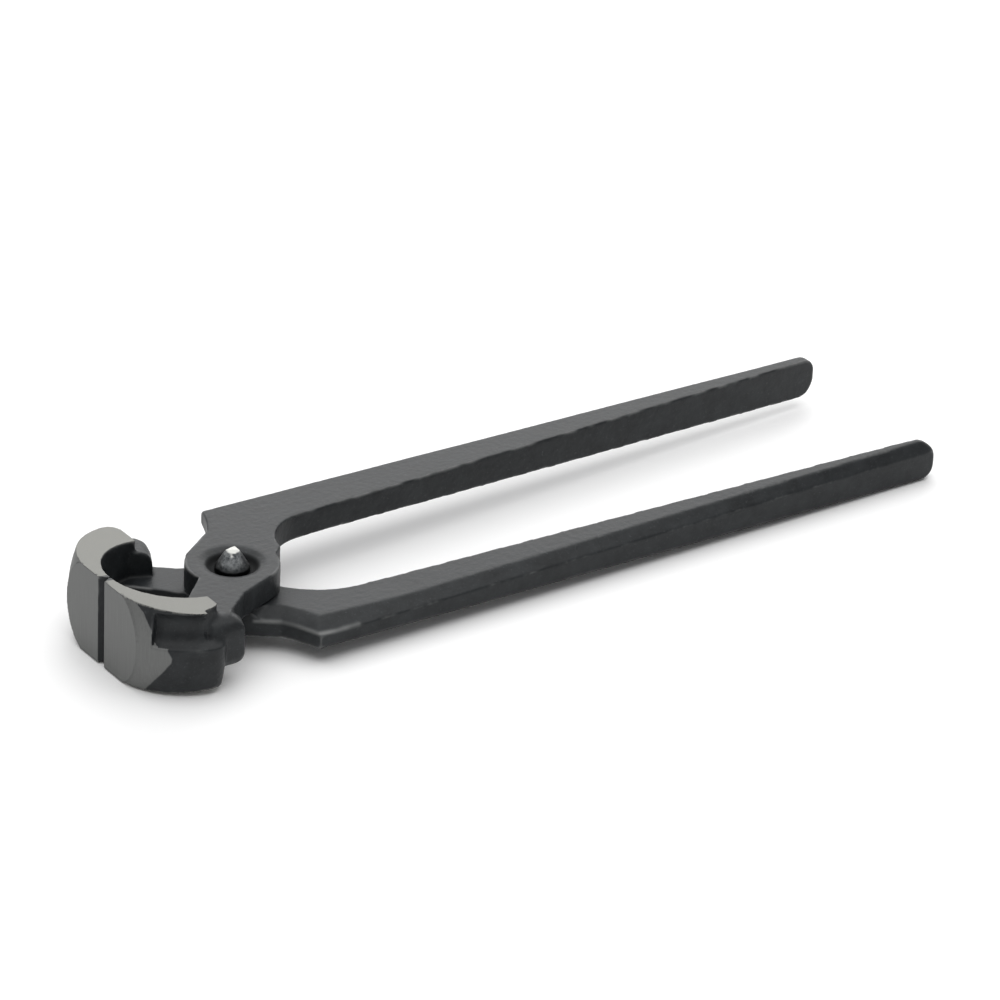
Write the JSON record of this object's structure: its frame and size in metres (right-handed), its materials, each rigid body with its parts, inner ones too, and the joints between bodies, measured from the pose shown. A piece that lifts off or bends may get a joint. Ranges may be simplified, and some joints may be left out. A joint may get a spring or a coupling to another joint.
{
  "type": "end-cutting pincers",
  "caption": "Forged end-cutting pincers for fence wire, with curved jaws, a lapped boss on a hammered rivet and long straight handles.",
  "frame": {"origin": "middle of the closed tool's length and width, level with the lower corners of the jaws", "axes": "+X from the jaws to the handle ends, +Y towards the handle of the upper half, +Z along the rivet"},
  "size_m": [0.25, 0.0588, 0.0246],
  "materials": {
    "forged_steel": "dark forge scale, with the jaw fronts and crescents ground bright",
    "rivet_steel": "hammered, worn bright on top and dark in the dish"
  },
  "bodies": {
    "lower_half": {"lower_half": "forged_steel"},
    "upper_half": {"upper_half": "forged_steel", "rivet": "rivet_steel"}
  },
  "joints": [
    {"name": "rivet_pivot", "type": "hinge", "parent": "lower_half", "child": "upper_half", "pos_m": [-0.0862, 0, 0.0123], "axis": [0, 0, 1], "range_deg": [0, 40]}
  ]
}
